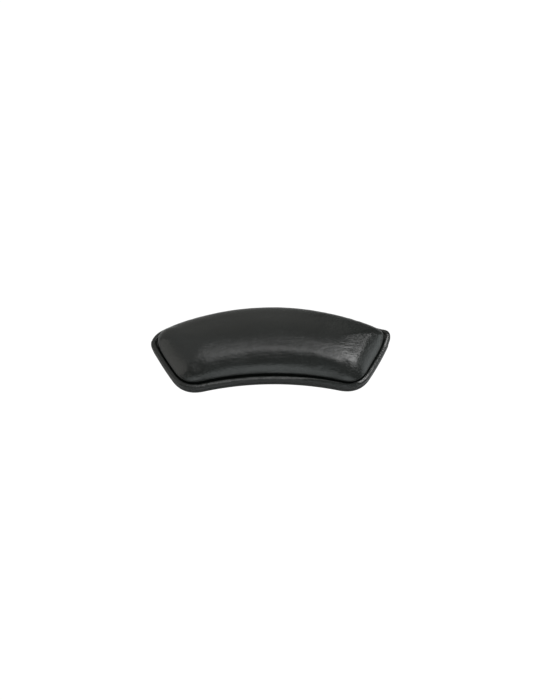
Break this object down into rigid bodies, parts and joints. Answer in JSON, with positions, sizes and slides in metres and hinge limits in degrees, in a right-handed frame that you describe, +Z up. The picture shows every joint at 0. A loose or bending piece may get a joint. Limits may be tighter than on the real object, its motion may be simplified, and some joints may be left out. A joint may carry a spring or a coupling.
{
  "type": "violin shoulder rest",
  "caption": "Crescent-shaped padded shoulder rest for a violin: a domed leather cushion on a leather-wrapped base with a grip sheet underneath.",
  "frame": {"origin": "middle of the footprint's box, on the resting surface", "axes": "+X along the length from tip to tip, +Y towards the outer convex edge, +Z up from the resting surface to the crown of the cushion"},
  "size_m": [0.2, 0.0858, 0.0236],
  "materials": {
    "black_leather": "fine-grained black leather with a soft satin sheen",
    "grip_rubber": "matt black soft rubber",
    "adhesive_sheet": "double-sided adhesive sheet",
    "plate_foam": "moulded closed-cell foam",
    "fibreboard": "pressed fibreboard",
    "firm_foam": "firm grey foam",
    "soft_foam": "soft open-cell foam"
  },
  "bodies": {
    "root": {"grip_pad": "grip_rubber", "grip_bond": "adhesive_sheet", "base_cover": "black_leather", "base_plate": "plate_foam", "cushion_bond": "adhesive_sheet", "cushion_board": "fibreboard", "cushion_cover": "black_leather", "core_foam": "firm_foam", "comfort_foam": "soft_foam"}
  },
  "joints": []
}
